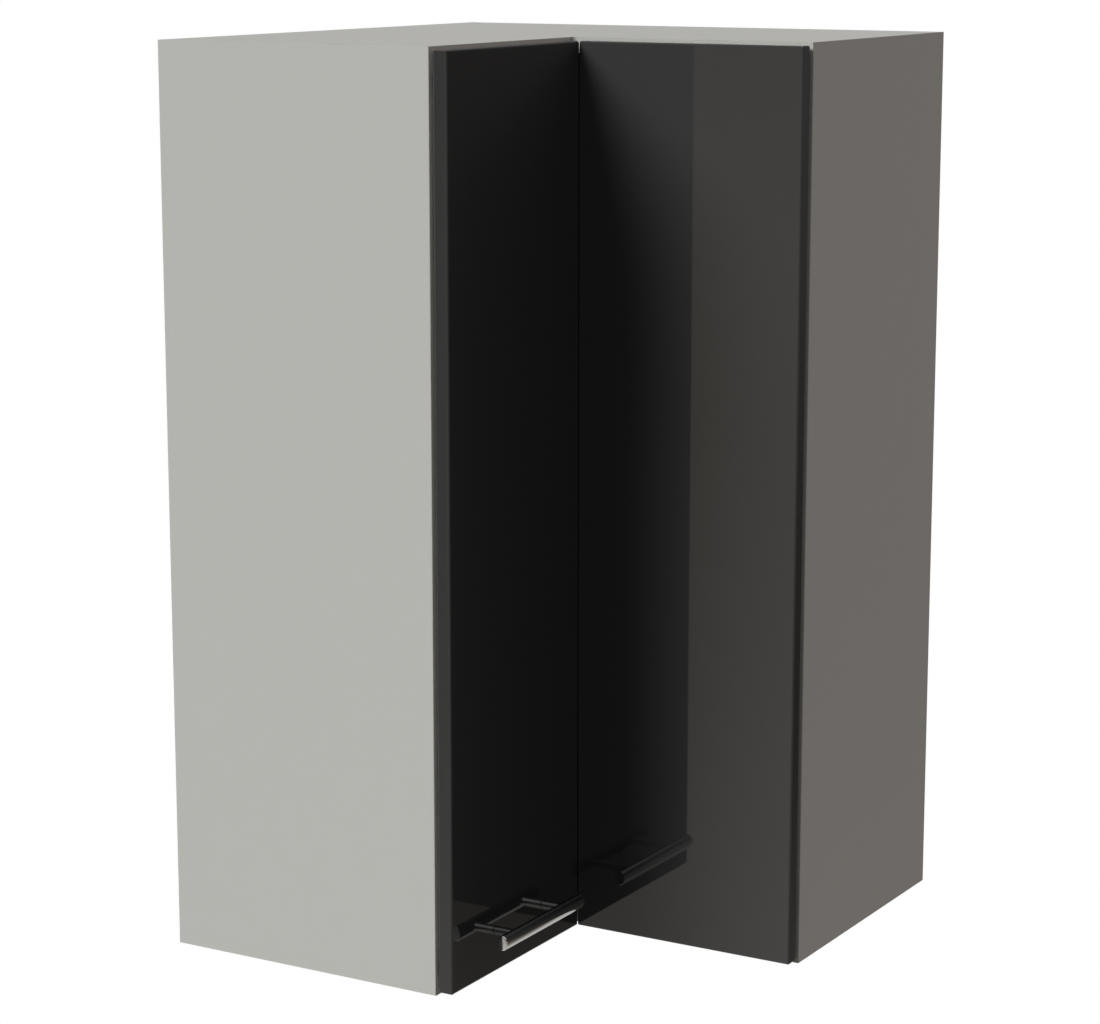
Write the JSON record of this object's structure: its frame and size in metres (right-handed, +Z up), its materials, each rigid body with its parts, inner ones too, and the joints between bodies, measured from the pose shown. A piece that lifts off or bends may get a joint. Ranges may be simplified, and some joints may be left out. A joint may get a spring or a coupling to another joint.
{
  "type": "corner wall cabinet",
  "caption": "L-shaped corner wall cabinet with a folding pair of gloss doors, one low bar handle, adjustable shelves, concealed hinges and wall hangers.",
  "frame": {"origin": "underside of the cabinet at the room's corner, where the two walls and the cabinet's underside meet", "axes": "+X along the right leg away from the corner, -Y along the left leg away from the corner, +Z up"},
  "size_m": [0.6, 0.6, 0.955],
  "materials": {
    "gloss_black_front": "deep gloss near-black foil with a warm edge",
    "chrome_handle": "polished chrome",
    "nickelled_steel": "nickel-plated pressed steel",
    "zinc_screw": "bright zinc plate",
    "backing_board": "pale printed hardboard",
    "die_cast_zinc": "bare die-cast zinc",
    "beech_dowel": "fluted beech",
    "pale_board": "light grey melamine-faced board, satin",
    "hanger_plastic": "white moulded plastic",
    "rubber_bumper": "soft dark rubber pad"
  },
  "bodies": {
    "carcass": {"bottom_board": "pale_board", "cam_bolts": "zinc_screw", "cam_housings": "die_cast_zinc", "corner_post": "pale_board", "door_hinge_arm_lower": "nickelled_steel", "door_hinge_arm_middle": "nickelled_steel", "door_hinge_arm_upper": "nickelled_steel", "door_hinge_plate_lower": "nickelled_steel", "door_hinge_plate_middle": "nickelled_steel", "door_hinge_plate_upper": "nickelled_steel", "door_plate_screws": "zinc_screw", "dowels": "beech_dowel", "left_back_panel": "backing_board", "left_end_panel": "pale_board", "left_hanger_body": "hanger_plastic", "left_hanger_hook": "nickelled_steel", "lower_shelf": "pale_board", "lower_shelf_pins": "zinc_screw", "post_screws": "zinc_screw", "right_back_panel": "backing_board", "right_end_panel": "pale_board", "right_hanger_body": "hanger_plastic", "right_hanger_hook": "nickelled_steel", "top_board": "pale_board", "upper_shelf": "pale_board", "upper_shelf_pins": "zinc_screw"},
    "right_leaf": {"cup_screws": "zinc_screw", "door_hinge_cup_lower": "nickelled_steel", "door_hinge_cup_middle": "nickelled_steel", "door_hinge_cup_upper": "nickelled_steel", "fold_hinge_cup_lower": "nickelled_steel", "fold_hinge_cup_middle": "nickelled_steel", "fold_hinge_cup_upper": "nickelled_steel", "right_door": "gloss_black_front"},
    "left_leaf": {"door_bumpers": "rubber_bumper", "fold_hinge_arm_lower": "nickelled_steel", "fold_hinge_arm_middle": "nickelled_steel", "fold_hinge_arm_upper": "nickelled_steel", "fold_hinge_plate_lower": "nickelled_steel", "fold_hinge_plate_middle": "nickelled_steel", "fold_hinge_plate_upper": "nickelled_steel", "fold_plate_screws": "zinc_screw", "handle_bar": "chrome_handle", "handle_foot_inner": "chrome_handle", "handle_foot_outer": "chrome_handle", "handle_screws": "zinc_screw", "left_door": "gloss_black_front"},
    "door_links": {"door_hinge_link_lower": "nickelled_steel", "door_hinge_link_middle": "nickelled_steel", "door_hinge_link_upper": "nickelled_steel"},
    "fold_links": {"fold_hinge_link_lower": "nickelled_steel", "fold_hinge_link_middle": "nickelled_steel", "fold_hinge_link_upper": "nickelled_steel"}
  },
  "joints": [
    {"name": "door_swing", "type": "hinge", "parent": "carcass", "child": "right_leaf", "pos_m": [0.598, -0.3435, 0.4775], "axis": [0, 0, 1], "range_deg": [0, 110]},
    {"name": "leaf_fold", "type": "hinge", "parent": "right_leaf", "child": "left_leaf", "pos_m": [0.3435, -0.3435, 0.4775], "axis": [0, 0, 1], "range_deg": [-80.01, 0]},
    {"name": "door_link_turn", "type": "hinge", "parent": "right_leaf", "child": "door_links", "pos_m": [0.585, -0.3335, 0.4775], "axis": [0, 0, 1], "range_deg": [-110.01, 0]},
    {"name": "fold_link_turn", "type": "hinge", "parent": "right_leaf", "child": "fold_links", "pos_m": [0.3571, -0.3335, 0.4775], "axis": [0, 0, 1], "range_deg": [-80.01, 0]}
  ],
  "couplings": [
    {"joint": "leaf_fold", "follows": "door_swing", "ratio": -0.72727},
    {"joint": "door_link_turn", "follows": "door_swing", "ratio": -1},
    {"joint": "fold_link_turn", "follows": "door_swing", "ratio": -0.72727}
  ]
}
